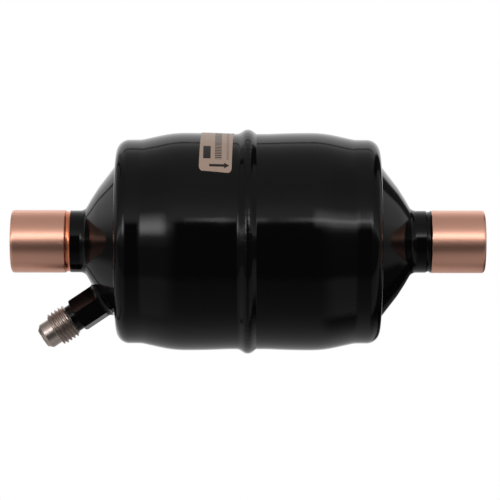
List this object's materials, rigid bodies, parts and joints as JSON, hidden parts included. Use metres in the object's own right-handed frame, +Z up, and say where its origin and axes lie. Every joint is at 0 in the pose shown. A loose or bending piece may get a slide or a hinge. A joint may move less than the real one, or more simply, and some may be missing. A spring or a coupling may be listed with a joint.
{
  "type": "suction line filter drier",
  "caption": "Sealed steel suction-line filter drier with solder sockets at both ends and an access valve on the inlet cone.",
  "frame": {"origin": "on the flow axis at the girth weld, which is the centre of the box", "axes": "+X along the flow from the inlet to the outlet, +Z up, away from the access valve"},
  "size_m": [0.1494, 0.071, 0.071],
  "materials": {
    "black_enamel": "gloss",
    "copper": "satin",
    "braze_metal": "satin",
    "valve_steel": "satin",
    "label_foil": "satin",
    "core_brass": "satin",
    "seal_rubber": "matte",
    "spring_steel": "satin",
    "pressed_steel": "satin",
    "screen_steel": "satin",
    "desiccant": "matte",
    "felt": "matte"
  },
  "bodies": {
    "drier": {"inlet_shell": "black_enamel", "outlet_shell": "black_enamel", "girth_weld": "black_enamel", "inlet_connector": "copper", "outlet_connector": "copper", "inlet_braze_ring": "braze_metal", "outlet_braze_ring": "black_enamel", "access_valve_body": "valve_steel", "access_valve_braze": "black_enamel", "core_plug": "core_brass", "core_barrel": "core_brass", "core_barrel_seal": "seal_rubber", "core_spring": "spring_steel", "inlet_plate": "pressed_steel", "block_spring": "spring_steel", "spring_cap": "pressed_steel", "desiccant_block": "desiccant", "end_gasket": "felt", "filter_pad": "felt", "outlet_screen": "screen_steel", "outlet_plate": "pressed_steel", "label": "label_foil"},
    "core_pin": {"core_pin": "core_brass", "core_seat_cup": "core_brass", "core_seat_washer": "seal_rubber"}
  },
  "joints": [
    {"name": "core_pin_travel", "type": "slide", "parent": "drier", "child": "core_pin", "axis": [0.832, 0, 0.5548], "range_m": [0, 0.0013], "stiffness_N_per_m": 1500, "springref_m": -0.002, "deforming": ["core_spring"]}
  ]
}
